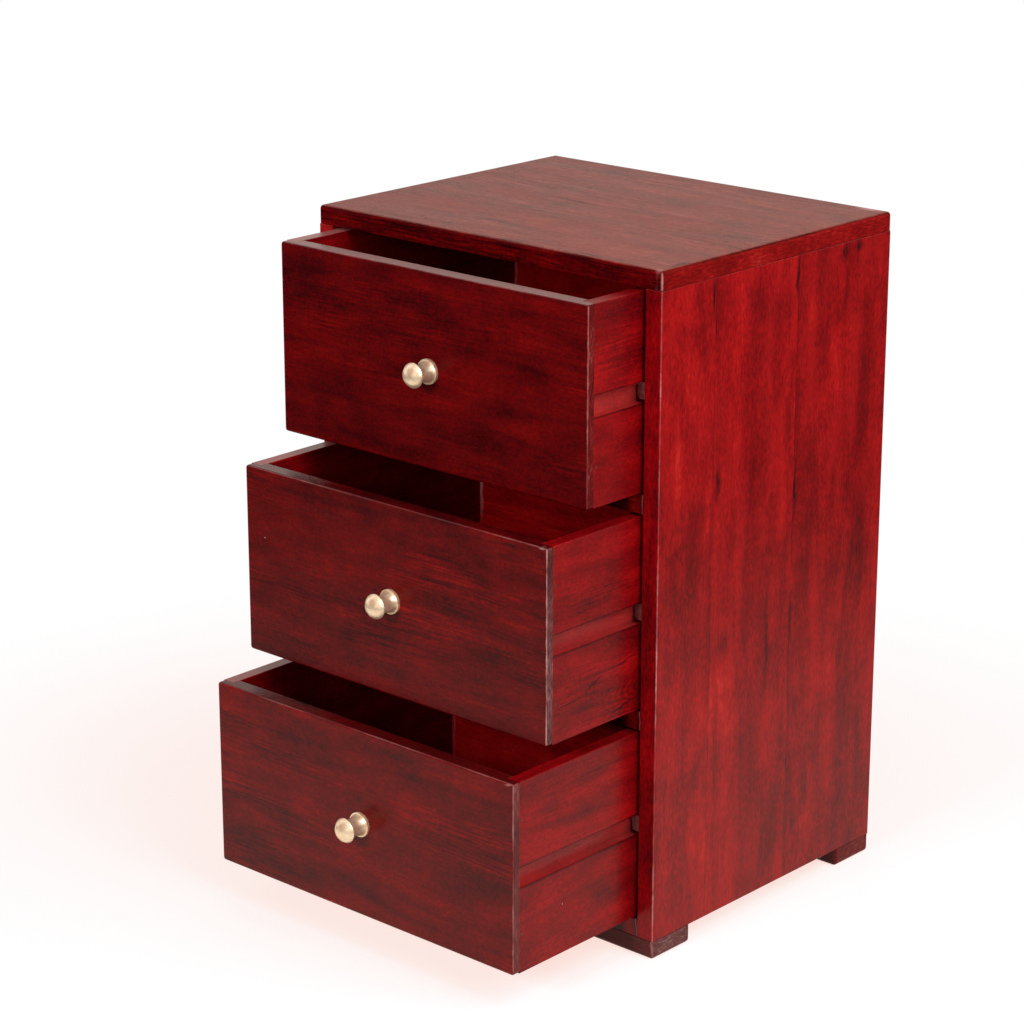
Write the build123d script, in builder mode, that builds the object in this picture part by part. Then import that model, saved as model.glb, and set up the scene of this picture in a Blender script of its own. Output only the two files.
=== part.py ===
from build123d import *
import os

# A small wooden chest of three drawers on four block feet.
# Millimetres, +Z up. The front faces -Y and the right side faces +X.
# The origin is on the floor, under the middle of the chest as it stands with its drawers pulled out.

# Case boards
CASE_WIDTH = 259.0
CASE_DEPTH = 208.0
CASE_HEIGHT = 400.0
SIDE_THICKNESS = 11.0
TOP_THICKNESS = 11.0
BOTTOM_THICKNESS = 11.0
RAIL_HEIGHT = 11.0
RAIL_DEPTH = 34.0
EDGE_ROUND = 1.2
TOP_ROUND = 2.2
JOINT_EASE = 0.35

# Back panel, let into rebates in the boards round it
BACK_THICKNESS = 5.0
BACK_REBATE = 5.0
BACK_CLEARANCE = 0.2

# Feet
FOOT_WIDTH = 48.0
FOOT_LENGTH = 34.0
FOOT_HEIGHT = 11.0
FOOT_ROUND = 2.4

# How far each drawer stands open
UPPER_OPENING = 44.0
MIDDLE_OPENING = 76.0
LOWER_OPENING = 102.5

# Drawer boards
DRAWER_SIDE_GAP = 2.5
DRAWER_GAP_BELOW = 1.0
DRAWER_GAP_ABOVE = 1.5
DRAWER_END_GAP = 5.0
FRONT_THICKNESS = 10.0
FRONT_REBATE = 5.0
FRONT_ROUND = 1.2
FRONT_CORNER_ROUND = 1.8
DRAWER_SIDE_THICKNESS = 8.5
DRAWER_BACK_THICKNESS = 8.5
DRAWER_EDGE_ROUND = 0.6

# Drawer bottoms, which stand in housings in the front and the sides
BASE_THICKNESS = 4.0
BASE_RISE = 5.0
BASE_HOUSING = 3.5
BASE_CLEARANCE = 0.15

# Runners on the case sides, and the grooves in the drawer sides that hang on them
RUNNER_HEIGHT = 9.5
RUNNER_BEARING = 3.2
RUNNER_ROUND = 1.8
RUNNER_FIT = 0.2
RUNNER_SETBACK = 1.0
RUNNER_BACK_GAP = 0.3
GROOVE_SLACK_BELOW = 2.2
GROOVE_SLACK_BESIDE = 2.2

# Knobs, measured from the face of the drawer front
KNOB_PROJECTION = 17.2
KNOB_BASE_DIAMETER = 14.5
KNOB_BASE_EDGE = 1.5
KNOB_BASE_STEP = 0.7
KNOB_NECK_DIAMETER = 10.4
KNOB_NECK_REACH = 7.3
KNOB_HEAD_DIAMETER = 14.5
KNOB_RIM_REACH = 12.5
KNOB_RIM_HEIGHT = 1.8
KNOB_RIM_WIDTH = 1.6

# Machine screws that hold the knobs
KNOB_SCREW_DIAMETER = 4.0
KNOB_SCREW_REACH = 8.0
KNOB_SCREW_HEAD_DIAMETER = 8.0
KNOB_SCREW_HEAD_HEIGHT = 2.6
KNOB_SCREW_HEAD_ROUND = 1.0
KNOB_SCREW_END_GAP = 1.0

# Dowels that hold the case boards
DOWEL_DIAMETER = 6.0
DOWEL_REACH = 15.0
DOWEL_END_GAP = 0.5
DOWEL_CHAMFER = 0.6
DOWEL_SEAT_SHARE = 0.65
DOWEL_PLACE_SHARES = (0.15, 0.5, 0.85)
RAIL_DOWEL_SHARES = (0.28, 0.72)

# Countersunk screws in the runners and the feet
SCREW_DIAMETER = 3.0
SCREW_HEAD_DIAMETER = 5.6
SCREW_HEAD_HEIGHT = 1.7
SCREW_TIP_LENGTH = 2.4
SCREW_TIP_DIAMETER = 0.6
SCREW_BITE_SHARE = 0.65
SLOT_WIDTH = 0.8
SLOT_DEPTH = 0.7
RUNNER_SCREW_SHARES = (0.1, 0.5, 0.9)
FOOT_SCREW_SHARES = (0.25, 0.75)
FOOT_SCREW_RECESS = 2.0

# Nails in the back panel, and brads in the drawers
NAIL_DIAMETER = 1.4
NAIL_HEAD_DIAMETER = 3.2
NAIL_HEAD_HEIGHT = 0.7
NAIL_BITE = 11.0
NAIL_SIDE_SHARES = (0.06, 0.35, 0.65, 0.94)
NAIL_END_SHARES = (-0.3, 0.0, 0.3)
BRAD_DIAMETER = 1.2
BRAD_HEAD_DIAMETER = 1.8
BRAD_HEAD_HEIGHT = 0.8
BRAD_BITE = 11.0
BRAD_HEIGHT_SHARES = (0.2, 0.8)
BRAD_WIDTH_SHARES = (-0.35, 0.0, 0.35)

# Clearance round a fastener in its hole, and how far a cut runs past the face that it opens
FASTENER_FIT = 0.05
CUT_OVERRUN = 1.0

# Places along X: the case is centred, so each side is its sign times these
LEFT, RIGHT = -1, 1
SIDES = {"left": LEFT, "right": RIGHT}
CASE_X = CASE_WIDTH / 2
INNER_X = CASE_X - SIDE_THICKNESS
DRAWER_X = INNER_X - DRAWER_SIDE_GAP
DRAWER_INNER_X = DRAWER_X - DRAWER_SIDE_THICKNESS
RUNNER_X = DRAWER_X - RUNNER_BEARING
GROOVE_X = RUNNER_X - GROOVE_SLACK_BESIDE

# Places along Y
OPENINGS = {"lower": LOWER_OPENING, "middle": MIDDLE_OPENING, "upper": UPPER_OPENING}
BACK_Y = (CASE_DEPTH + max(OPENINGS.values()) + KNOB_PROJECTION) / 2
FRONT_Y = BACK_Y - CASE_DEPTH
PANEL_Y = BACK_Y - BACK_THICKNESS
CASE_Y = (FRONT_Y, BACK_Y)
RAIL_Y = (FRONT_Y, FRONT_Y + RAIL_DEPTH)
DRAWER_LENGTH = CASE_DEPTH - BACK_THICKNESS - DRAWER_END_GAP
FRONT_LIP = FRONT_THICKNESS - FRONT_REBATE
RUNNER_Y = (FRONT_Y + RUNNER_SETBACK, PANEL_Y - RUNNER_BACK_GAP)
FEET = {"front": (FRONT_Y, FRONT_Y + FOOT_LENGTH), "back": (BACK_Y - FOOT_LENGTH, BACK_Y)}

# Places along Z
SIDE_Z = (FOOT_HEIGHT, CASE_HEIGHT - TOP_THICKNESS)
TOP_Z = (CASE_HEIGHT - TOP_THICKNESS, CASE_HEIGHT)
BOTTOM_Z = (FOOT_HEIGHT, FOOT_HEIGHT + BOTTOM_THICKNESS)
RAIL_COUNT = len(OPENINGS) - 1
BAY_HEIGHT = (TOP_Z[0] - BOTTOM_Z[1] - RAIL_COUNT * RAIL_HEIGHT) / len(OPENINGS)
GROOVE_HEIGHT = RUNNER_FIT + RUNNER_HEIGHT + GROOVE_SLACK_BELOW

# Directions
FORWARD = (0, -1, 0)
BACKWARD = (0, 1, 0)
UP = (0, 0, 1)
DOWN = (0, 0, -1)
FROM_START = (Align.CENTER, Align.CENTER, Align.MIN)


class Drawer:
    """Where one drawer stands: its bay is counted from below."""

    def __init__(self, name, bay, opening):
        low = BOTTOM_Z[1] + bay * (BAY_HEIGHT + RAIL_HEIGHT)
        self.name = name
        self.bay_z = (low, low + BAY_HEIGHT)
        self.z = (low + DRAWER_GAP_BELOW, low + BAY_HEIGHT - DRAWER_GAP_ABOVE)
        self.middle_z = sum(self.z) / 2
        self.groove_z = (self.middle_z - GROOVE_HEIGHT / 2, self.middle_z + GROOVE_HEIGHT / 2)
        self.runner_z = (self.groove_z[1] - RUNNER_FIT - RUNNER_HEIGHT, self.groove_z[1] - RUNNER_FIT)
        self.housing_z = (self.z[0] + BASE_RISE, self.z[0] + BASE_RISE + BASE_THICKNESS + BASE_CLEARANCE)
        self.base_z = (self.z[0] + BASE_RISE, self.z[0] + BASE_RISE + BASE_THICKNESS)
        self.front_y = FRONT_Y - opening
        self.lip_y = self.front_y + FRONT_LIP
        self.inner_y = self.front_y + FRONT_THICKNESS
        self.end_y = self.front_y + DRAWER_LENGTH
        self.back_y = self.end_y - DRAWER_BACK_THICKNESS
        self.knob_seat = (0, self.front_y, self.middle_z)

    def corner_brads(self, side, y):
        """Head places of the brads that hold one corner."""
        return [(side * DRAWER_X, y, between(self.z, share)) for share in BRAD_HEIGHT_SHARES]

    def front_brads(self, side):
        return self.corner_brads(side, (self.lip_y + self.inner_y) / 2)

    def back_brads(self, side):
        return self.corner_brads(side, (self.back_y + self.end_y) / 2)

    def base_brads(self):
        """Head places of the brads that hold the bottom up to the back."""
        y = (self.back_y + self.end_y) / 2
        width = 2 * DRAWER_INNER_X
        return [(share * width, y, self.base_z[0]) for share in BRAD_WIDTH_SHARES]


def outward(side):
    """Direction from the middle of the case towards one side."""
    return (side, 0, 0)


def inward(side):
    """Direction from one side towards the middle of the case."""
    return (-side, 0, 0)


def between(span, share):
    """The place at a share of the way along a span."""
    return span[0] + share * (span[1] - span[0])


def past(span):
    """A span with the overrun of a cut at both ends."""
    return (min(span) - CUT_OVERRUN, max(span) + CUT_OVERRUN)


def block(x, y, z, mode=Mode.ADD):
    """Box between two places along each axis, for the open part."""
    spans = [sorted(span) for span in (x, y, z)]
    with Locations(tuple(sum(span) / 2 for span in spans)):
        Box(*(high - low for low, high in spans), mode=mode)


def rods(starts, way, radius, length, mode=Mode.ADD):
    """Round rods that begin at points and run along one direction."""
    with Locations(*(Plane(start, z_dir=way) for start in starts)):
        Cylinder(radius, length, align=FROM_START, mode=mode)


def cones(starts, way, radius, end_radius, length, mode=Mode.ADD):
    """Cones that begin at points and run along one direction."""
    with Locations(*(Plane(start, z_dir=way) for start in starts)):
        Cone(radius, end_radius, length, align=FROM_START, mode=mode)


def along(starts, way, distance):
    """Points moved by a distance along a direction."""
    return [Vector(start) + Vector(way) * distance for start in starts]


def bores(mouths, way, radius, depth):
    """Round holes from a face into the open part."""
    rods(along(mouths, way, -CUT_OVERRUN), way, radius, depth + CUT_OVERRUN, Mode.SUBTRACT)


def dowel_seats(joints, way, depth):
    """Holes for dowels, from a joint into a board."""
    bores(joints, way, DOWEL_DIAMETER / 2 + FASTENER_FIT, depth)


def dowels(joints, way, seat_depth):
    """Dowels across a joint, with their shallow seats along the direction."""
    starts = along(joints, way, DOWEL_END_GAP - DOWEL_REACH)
    rods(starts, way, DOWEL_DIAMETER / 2, DOWEL_REACH + seat_depth - 2 * DOWEL_END_GAP)


def wood_screws(heads, way, length):
    """Countersunk screws with their slotted heads flush at points."""
    radius = SCREW_DIAMETER / 2
    shank_length = length - SCREW_TIP_LENGTH
    cones(heads, way, SCREW_HEAD_DIAMETER / 2, radius, SCREW_HEAD_HEIGHT)
    rods(heads, way, radius, shank_length)
    cones(along(heads, way, shank_length), way, radius, SCREW_TIP_DIAMETER / 2, SCREW_TIP_LENGTH)
    with Locations(*(Plane(head, z_dir=way) for head in heads)):
        Box(SCREW_HEAD_DIAMETER, SLOT_WIDTH, 2 * SLOT_DEPTH, mode=Mode.SUBTRACT)


def screw_holes(heads, way, length):
    """Holes that take countersunk screws, with their countersinks."""
    radius = SCREW_DIAMETER / 2 + FASTENER_FIT
    bores(heads, way, radius, length)
    cones(heads, way, SCREW_HEAD_DIAMETER / 2 + FASTENER_FIT, radius, SCREW_HEAD_HEIGHT, Mode.SUBTRACT)


def nails(heads, length):
    """Flat-headed nails from behind, with their heads flush at points."""
    rods(heads, FORWARD, NAIL_HEAD_DIAMETER / 2, NAIL_HEAD_HEIGHT)
    rods(heads, FORWARD, NAIL_DIAMETER / 2, length)


def nail_holes(heads, length):
    bores(heads, FORWARD, NAIL_HEAD_DIAMETER / 2 + FASTENER_FIT, NAIL_HEAD_HEIGHT)
    bores(heads, FORWARD, NAIL_DIAMETER / 2 + FASTENER_FIT, length)


def brads(heads, way, length):
    """Thin brads with their small heads flush at points."""
    rods(heads, way, BRAD_HEAD_DIAMETER / 2, BRAD_HEAD_HEIGHT)
    rods(heads, way, BRAD_DIAMETER / 2, length)


def brad_holes(heads, way, length):
    bores(heads, way, BRAD_HEAD_DIAMETER / 2 + FASTENER_FIT, BRAD_HEAD_HEIGHT)
    bores(heads, way, BRAD_DIAMETER / 2 + FASTENER_FIT, length)


def save(piece, name):
    """Label a finished piece and write it under its name."""
    piece.part.label = name
    export_step(piece.part, f"parts/{name}.step")


# Where the case's fasteners sit, for the pieces that they join and for themselves

DRAWERS = [Drawer(name, bay, opening) for bay, (name, opening) in enumerate(OPENINGS.items())]
RAILS = {"lower": (DRAWERS[0].bay_z[1], DRAWERS[1].bay_z[0]),
         "upper": (DRAWERS[1].bay_z[1], DRAWERS[2].bay_z[0])}
SIDE_SEAT = SIDE_THICKNESS * DOWEL_SEAT_SHARE
TOP_SEAT = TOP_THICKNESS * DOWEL_SEAT_SHARE
RUNNER_SCREW_LENGTH = INNER_X - RUNNER_X + SIDE_THICKNESS * SCREW_BITE_SHARE
FOOT_SCREW_LENGTH = FOOT_HEIGHT - FOOT_SCREW_RECESS + BOTTOM_THICKNESS * SCREW_BITE_SHARE
NAIL_LENGTH = BACK_THICKNESS + NAIL_BITE
CORNER_BRAD_LENGTH = DRAWER_SIDE_THICKNESS + BRAD_BITE
BASE_BRAD_LENGTH = BASE_THICKNESS + BRAD_BITE
PANEL_X = INNER_X + BACK_REBATE
PANEL_Z = (BOTTOM_Z[1] - BACK_REBATE, TOP_Z[0] + BACK_REBATE)


def top_dowel_places(side):
    x = side * (INNER_X + CASE_X) / 2
    return [(x, between(CASE_Y, share), TOP_Z[0]) for share in DOWEL_PLACE_SHARES]


def bottom_dowel_places(side):
    z = sum(BOTTOM_Z) / 2
    return [(side * INNER_X, between(CASE_Y, share), z) for share in DOWEL_PLACE_SHARES]


def rail_dowel_places(side, rail_z):
    z = sum(rail_z) / 2
    return [(side * INNER_X, between(RAIL_Y, share), z) for share in RAIL_DOWEL_SHARES]


def runner_screw_places(side, runner_z):
    z = sum(runner_z) / 2
    return [(side * RUNNER_X, between(RUNNER_Y, share), z) for share in RUNNER_SCREW_SHARES]


def foot_screw_places(side, foot_y):
    span = (side * INNER_X, side * (CASE_X - FOOT_WIDTH))
    y = sum(foot_y) / 2
    return [(between(span, share), y, FOOT_SCREW_RECESS) for share in FOOT_SCREW_SHARES]


def side_nail_places(side):
    x = side * (INNER_X + PANEL_X) / 2
    return [(x, BACK_Y, between(PANEL_Z, share)) for share in NAIL_SIDE_SHARES]


def end_nail_places(z):
    return [(share * CASE_WIDTH, BACK_Y, z) for share in NAIL_END_SHARES]


TOP_NAIL_PLACES = end_nail_places((TOP_Z[0] + PANEL_Z[1]) / 2)
BOTTOM_NAIL_PLACES = end_nail_places((BOTTOM_Z[1] + PANEL_Z[0]) / 2)
BACK_NAIL_PLACES = TOP_NAIL_PLACES + BOTTOM_NAIL_PLACES + side_nail_places(LEFT) + side_nail_places(RIGHT)


# Case boards

def side_panel(name, side):
    inner, outer = side * INNER_X, side * CASE_X
    with BuildPart() as panel:
        block((inner, outer), CASE_Y, SIDE_Z)
        outer_corners = panel.edges().filter_by(Axis.Z).sort_by(Axis.X, reverse=side == LEFT)[-2:]
        fillet(outer_corners, EDGE_ROUND)
        chamfer(panel.faces().filter_by(Axis.Z).edges(), JOINT_EASE)
        rebate_x = (inner - side * CUT_OVERRUN, side * PANEL_X)
        block(rebate_x, (PANEL_Y, BACK_Y + CUT_OVERRUN), past(SIDE_Z), Mode.SUBTRACT)
        seats = bottom_dowel_places(side)
        for rail_z in RAILS.values():
            seats += rail_dowel_places(side, rail_z)
        dowel_seats(seats, outward(side), SIDE_SEAT)
        dowel_seats(top_dowel_places(side), DOWN, DOWEL_REACH)
        screws = []
        for drawer in DRAWERS:
            screws += runner_screw_places(side, drawer.runner_z)
        screw_holes(screws, outward(side), RUNNER_SCREW_LENGTH)
        nail_holes(side_nail_places(side), NAIL_LENGTH)
    save(panel, name)


def top_panel():
    with BuildPart() as top:
        block((-CASE_X, CASE_X), CASE_Y, TOP_Z)
        upper_edges = top.faces().sort_by(Axis.Z)[-1].edges()
        fillet(top.edges().filter_by(Axis.Z) + upper_edges, TOP_ROUND)
        chamfer(top.faces().sort_by(Axis.Z)[0].edges(), JOINT_EASE)
        rebate_z = (TOP_Z[0] - CUT_OVERRUN, PANEL_Z[1])
        block((-PANEL_X, PANEL_X), (PANEL_Y, BACK_Y + CUT_OVERRUN), rebate_z, Mode.SUBTRACT)
        dowel_seats(top_dowel_places(LEFT) + top_dowel_places(RIGHT), UP, TOP_SEAT)
        nail_holes(TOP_NAIL_PLACES, NAIL_LENGTH)
    save(top, "top_panel")


def bottom_panel():
    with BuildPart() as bottom:
        block((-INNER_X, INNER_X), CASE_Y, BOTTOM_Z)
        chamfer(bottom.edges().filter_by(Axis.X), JOINT_EASE)
        rebate_z = (PANEL_Z[0], BOTTOM_Z[1] + CUT_OVERRUN)
        block(past((-INNER_X, INNER_X)), (PANEL_Y, BACK_Y + CUT_OVERRUN), rebate_z, Mode.SUBTRACT)
        for side in SIDES.values():
            dowel_seats(bottom_dowel_places(side), inward(side), DOWEL_REACH)
            for foot_y in FEET.values():
                screw_holes(foot_screw_places(side, foot_y), UP, FOOT_SCREW_LENGTH)
        nail_holes(BOTTOM_NAIL_PLACES, NAIL_LENGTH)
    save(bottom, "bottom_panel")


def divider_rail(name, rail_z):
    with BuildPart() as rail:
        block((-INNER_X, INNER_X), RAIL_Y, rail_z)
        chamfer(rail.edges().filter_by(Axis.X), JOINT_EASE)
        for side in SIDES.values():
            dowel_seats(rail_dowel_places(side, rail_z), inward(side), DOWEL_REACH)
    save(rail, name)


def back_panel():
    half_width = PANEL_X - BACK_CLEARANCE
    height = (PANEL_Z[0] + BACK_CLEARANCE, PANEL_Z[1] - BACK_CLEARANCE)
    with BuildPart() as back:
        block((-half_width, half_width), (PANEL_Y, BACK_Y), height)
        chamfer(back.faces().sort_by(Axis.Y)[-1].edges(), JOINT_EASE)
        nail_holes(BACK_NAIL_PLACES, NAIL_LENGTH)
    save(back, "back_panel")


# Runners and feet

def runner(name, side, runner_z):
    with BuildPart() as strip:
        block((side * RUNNER_X, side * INNER_X), RUNNER_Y, runner_z)
        free_edges = strip.edges().filter_by(Axis.Y).sort_by(Axis.X, reverse=side == LEFT)[:2]
        fillet(free_edges, RUNNER_ROUND)
        screw_holes(runner_screw_places(side, runner_z), outward(side), RUNNER_SCREW_LENGTH)
    save(strip, name)


def foot(name, side, foot_y):
    screws = foot_screw_places(side, foot_y)
    with BuildPart() as pad:
        block((side * (CASE_X - FOOT_WIDTH), side * CASE_X), foot_y, (0, FOOT_HEIGHT))
        lower_edges = pad.faces().sort_by(Axis.Z)[0].edges()
        fillet(pad.edges().filter_by(Axis.Z) + lower_edges, FOOT_ROUND)
        recesses = along(screws, DOWN, FOOT_SCREW_RECESS)
        bores(recesses, UP, SCREW_HEAD_DIAMETER / 2 + FASTENER_FIT, FOOT_SCREW_RECESS)
        screw_holes(screws, UP, FOOT_SCREW_LENGTH)
    save(pad, name)


# Fasteners of the case

def top_dowels():
    with BuildPart() as group:
        dowels(top_dowel_places(LEFT) + top_dowel_places(RIGHT), UP, TOP_SEAT)
        chamfer(group.edges().filter_by(GeomType.CIRCLE), DOWEL_CHAMFER)
    save(group, "top_dowels")


def bottom_dowels():
    with BuildPart() as group:
        for side in SIDES.values():
            dowels(bottom_dowel_places(side), outward(side), SIDE_SEAT)
        chamfer(group.edges().filter_by(GeomType.CIRCLE), DOWEL_CHAMFER)
    save(group, "bottom_dowels")


def rail_dowels():
    with BuildPart() as group:
        for side in SIDES.values():
            for rail_z in RAILS.values():
                dowels(rail_dowel_places(side, rail_z), outward(side), SIDE_SEAT)
        chamfer(group.edges().filter_by(GeomType.CIRCLE), DOWEL_CHAMFER)
    save(group, "rail_dowels")


def runner_screws():
    with BuildPart() as group:
        for side in SIDES.values():
            for drawer in DRAWERS:
                wood_screws(runner_screw_places(side, drawer.runner_z), outward(side), RUNNER_SCREW_LENGTH)
    save(group, "runner_screws")


def foot_screws():
    with BuildPart() as group:
        for side in SIDES.values():
            for foot_y in FEET.values():
                wood_screws(foot_screw_places(side, foot_y), UP, FOOT_SCREW_LENGTH)
    save(group, "foot_screws")


def back_panel_nails():
    with BuildPart() as group:
        nails(BACK_NAIL_PLACES, NAIL_LENGTH)
    save(group, "back_panel_nails")


# Drawers

def drawer_front(drawer):
    with BuildPart() as front:
        block((-DRAWER_X, DRAWER_X), (drawer.front_y, drawer.lip_y), drawer.z)
        fillet(front.edges().filter_by(Axis.Y), FRONT_CORNER_ROUND)
        fillet(front.faces().sort_by(Axis.Y)[0].edges(), FRONT_ROUND)
        block((-DRAWER_INNER_X, DRAWER_INNER_X), (drawer.lip_y, drawer.inner_y), drawer.z)
        inner_top_edge = front.faces().sort_by(Axis.Y)[-1].edges().sort_by(Axis.Z)[-1]
        fillet(inner_top_edge, DRAWER_EDGE_ROUND)
        housing_x = DRAWER_INNER_X + BASE_HOUSING
        housing_y = (drawer.inner_y - BASE_HOUSING, drawer.inner_y + CUT_OVERRUN)
        block((-housing_x, housing_x), housing_y, drawer.housing_z, Mode.SUBTRACT)
        screw_radius = KNOB_SCREW_DIAMETER / 2 + FASTENER_FIT
        bores([drawer.knob_seat], BACKWARD, screw_radius, FRONT_THICKNESS + CUT_OVERRUN)
        for side in SIDES.values():
            brad_holes(drawer.front_brads(side), inward(side), CORNER_BRAD_LENGTH)
    save(front, f"{drawer.name}_drawer_front")


def drawer_side(drawer, name, side):
    length = (drawer.lip_y, drawer.end_y)
    with BuildPart() as board:
        block((side * DRAWER_INNER_X, side * DRAWER_X), length, drawer.z)
        top_edges = board.faces().sort_by(Axis.Z)[-1].edges().filter_by(Axis.Y)
        fillet(top_edges, DRAWER_EDGE_ROUND)
        groove_x = (side * GROOVE_X, side * (DRAWER_X + CUT_OVERRUN))
        block(groove_x, past(length), drawer.groove_z, Mode.SUBTRACT)
        housing_x = (side * (DRAWER_INNER_X - CUT_OVERRUN), side * (DRAWER_INNER_X + BASE_HOUSING))
        block(housing_x, past(length), drawer.housing_z, Mode.SUBTRACT)
        brad_holes(drawer.front_brads(side) + drawer.back_brads(side), inward(side), CORNER_BRAD_LENGTH)
    save(board, f"{drawer.name}_drawer_{name}_side")


def drawer_back(drawer):
    height = (drawer.base_z[1], drawer.z[1])
    with BuildPart() as back:
        block((-DRAWER_INNER_X, DRAWER_INNER_X), (drawer.back_y, drawer.end_y), height)
        top_edges = back.faces().sort_by(Axis.Z)[-1].edges().filter_by(Axis.X)
        fillet(top_edges, DRAWER_EDGE_ROUND)
        for side in SIDES.values():
            brad_holes(drawer.back_brads(side), inward(side), CORNER_BRAD_LENGTH)
        brad_holes(drawer.base_brads(), UP, BASE_BRAD_LENGTH)
    save(back, f"{drawer.name}_drawer_back")


def drawer_bottom(drawer):
    half_width = DRAWER_INNER_X + BASE_HOUSING - BASE_CLEARANCE
    front_edge = drawer.inner_y - BASE_HOUSING + BASE_CLEARANCE
    with BuildPart() as base:
        block((-half_width, half_width), (front_edge, drawer.end_y), drawer.base_z)
        brad_holes(drawer.base_brads(), UP, BASE_BRAD_LENGTH)
    save(base, f"{drawer.name}_drawer_bottom")


def drawer_brads(drawer):
    with BuildPart() as group:
        for side in SIDES.values():
            brads(drawer.front_brads(side) + drawer.back_brads(side), inward(side), CORNER_BRAD_LENGTH)
        brads(drawer.base_brads(), UP, BASE_BRAD_LENGTH)
    save(group, f"{drawer.name}_drawer_brads")


def knob(drawer):
    """Turned knob: a stepped base, a cove to the neck, and a rounded rim under a dome."""
    base_radius = KNOB_BASE_DIAMETER / 2
    cove_radius = base_radius - KNOB_BASE_STEP
    neck = (KNOB_NECK_DIAMETER / 2, KNOB_NECK_REACH)
    head_radius = KNOB_HEAD_DIAMETER / 2
    under_radius = head_radius - KNOB_RIM_WIDTH
    under_reach = KNOB_RIM_REACH - KNOB_RIM_HEIGHT
    hole_radius = KNOB_SCREW_DIAMETER / 2 + FASTENER_FIT
    hole_depth = KNOB_SCREW_REACH + KNOB_SCREW_END_GAP
    with BuildPart() as turned:
        with BuildSketch(Plane(drawer.knob_seat, x_dir=(1, 0, 0), z_dir=DOWN)):
            with BuildLine():
                Polyline((0, hole_depth), (hole_radius, hole_depth), (hole_radius, 0), (base_radius, 0),
                         (base_radius, KNOB_BASE_EDGE), (cove_radius, KNOB_BASE_EDGE))
                TangentArc(neck, (cove_radius, KNOB_BASE_EDGE), tangent=(0, -1))
                TangentArc(neck, (under_radius, under_reach), tangent=(0, 1))
                TangentArc((head_radius, KNOB_RIM_REACH), (under_radius, under_reach), tangent=(0, -1))
                TangentArc((0, KNOB_PROJECTION), (head_radius, KNOB_RIM_REACH), tangent=(1, 0))
                Line((0, KNOB_PROJECTION), (0, hole_depth))
            make_face()
        revolve(axis=Axis(drawer.knob_seat, FORWARD))
    save(turned, f"{drawer.name}_drawer_knob")


def knob_screw(drawer):
    head = (0, drawer.inner_y, drawer.middle_z)
    head_radius = KNOB_SCREW_HEAD_DIAMETER / 2
    head_top = drawer.inner_y + KNOB_SCREW_HEAD_HEIGHT
    with BuildPart() as screw:
        rods([head], BACKWARD, head_radius, KNOB_SCREW_HEAD_HEIGHT)
        fillet(screw.edges().sort_by(Axis.Y)[-1], KNOB_SCREW_HEAD_ROUND)
        slot_z = (drawer.middle_z - SLOT_WIDTH / 2, drawer.middle_z + SLOT_WIDTH / 2)
        slot_y = (head_top - SLOT_DEPTH, head_top + CUT_OVERRUN)
        block(past((-head_radius, head_radius)), slot_y, slot_z, Mode.SUBTRACT)
        rods([head], FORWARD, KNOB_SCREW_DIAMETER / 2, FRONT_THICKNESS + KNOB_SCREW_REACH)
    save(screw, f"{drawer.name}_drawer_knob_screw")


os.makedirs("parts", exist_ok=True)

for side_name, side_sign in SIDES.items():
    side_panel(f"{side_name}_side_panel", side_sign)
    for chest_drawer in DRAWERS:
        runner(f"{chest_drawer.name}_{side_name}_runner", side_sign, chest_drawer.runner_z)
    for end_name, end_y in FEET.items():
        foot(f"{end_name}_{side_name}_foot", side_sign, end_y)
top_panel()
bottom_panel()
back_panel()
for rail_name, rail_span in RAILS.items():
    divider_rail(f"{rail_name}_rail", rail_span)

top_dowels()
bottom_dowels()
rail_dowels()
runner_screws()
foot_screws()
back_panel_nails()

for chest_drawer in DRAWERS:
    drawer_front(chest_drawer)
    for side_name, side_sign in SIDES.items():
        drawer_side(chest_drawer, side_name, side_sign)
    drawer_back(chest_drawer)
    drawer_bottom(chest_drawer)
    drawer_brads(chest_drawer)
    knob(chest_drawer)
    knob_screw(chest_drawer)
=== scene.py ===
import math
import bpy
from mathutils import Color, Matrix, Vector


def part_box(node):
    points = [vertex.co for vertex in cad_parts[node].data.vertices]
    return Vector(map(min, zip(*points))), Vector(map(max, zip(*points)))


# How the drawer chest looks: red-stained, lacquered boards, brass knobs and steel fasteners.
# Metres, in the chest's own frame: +Z up, the front faces -Y and the right side faces +X.

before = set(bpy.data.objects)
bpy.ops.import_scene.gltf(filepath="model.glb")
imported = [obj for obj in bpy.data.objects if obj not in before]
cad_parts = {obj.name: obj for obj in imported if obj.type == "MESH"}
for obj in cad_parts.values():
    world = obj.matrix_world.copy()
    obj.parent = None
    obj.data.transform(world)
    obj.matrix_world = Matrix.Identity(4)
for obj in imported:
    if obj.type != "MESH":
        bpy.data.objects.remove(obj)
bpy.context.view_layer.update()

SIDES = ("left", "right")
AXES = "XYZ"
ZERO = 0.0
WHOLE = 1.0
HALF = 0.5
CENTRE = (HALF, HALF, HALF)
TURN = 2 * math.pi

# Sockets that are chosen by their place on the node
NOISE_VALUE, NOISE_COLOUR = 0, 1
MIX_FIRST, MIX_SECOND, MIX_RESULT = 6, 7, 2

# Camera
CAMERA_AZIMUTH = math.radians(42.16)
CAMERA_ELEVATION = math.radians(17.52)
CAMERA_DISTANCE = 1.856
TOP_LOW, TOP_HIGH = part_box("top_panel")
CAMERA_TARGET_X = -0.07184
CAMERA_TARGET_HEIGHT = 0.2
CAMERA_TARGET = Vector((CAMERA_TARGET_X, (TOP_LOW.y + TOP_HIGH.y) * HALF, CAMERA_TARGET_HEIGHT))
CAMERA_LENS = 106.15
CAMERA_SENSOR = 36.0

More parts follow.
